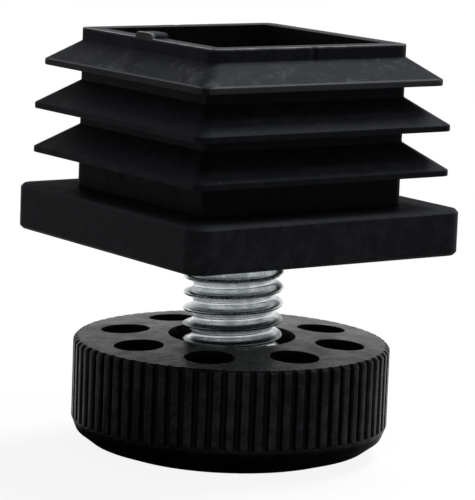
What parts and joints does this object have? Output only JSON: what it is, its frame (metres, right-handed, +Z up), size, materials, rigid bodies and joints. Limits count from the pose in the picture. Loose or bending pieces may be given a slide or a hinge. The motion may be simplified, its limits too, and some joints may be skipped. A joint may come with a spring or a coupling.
{
  "type": "levelling foot",
  "caption": "Adjustable levelling foot for square tube: a finned plastic plug with a flange, and a fluted round foot on a screw that sets the height.",
  "frame": {"origin": "middle of the foot's flat underside, on the floor", "axes": "+Z up along the screw; X and Y square to the plug's sides"},
  "size_m": [0.025, 0.025, 0.0327],
  "materials": {
    "plug_plastic": "black moulded plastic, fine matt texture",
    "bush_brass": "turned brass",
    "stem_steel": "rolled thread, bright zinc plating",
    "foot_plastic": "black moulded plastic, fine matt texture"
  },
  "bodies": {
    "plug": {"tube_insert": "plug_plastic"},
    "bush": {"threaded_bush": "bush_brass"},
    "foot": {"threaded_stem": "stem_steel", "foot_base": "foot_plastic"}
  },
  "joints": [
    {"name": "screw_turn", "type": "hinge", "parent": "plug", "child": "bush", "pos_m": [0, 0, 0], "axis": [0, 0, 1], "range_deg": [-1152, 2016]},
    {"name": "screw_lift", "type": "slide", "parent": "bush", "child": "foot", "axis": [0, 0, 1], "range_m": [-0.00401, 0.00701]}
  ],
  "couplings": [
    {"joint": "screw_lift", "follows": "screw_turn", "m_per_rad": 0.00019894}
  ]
}
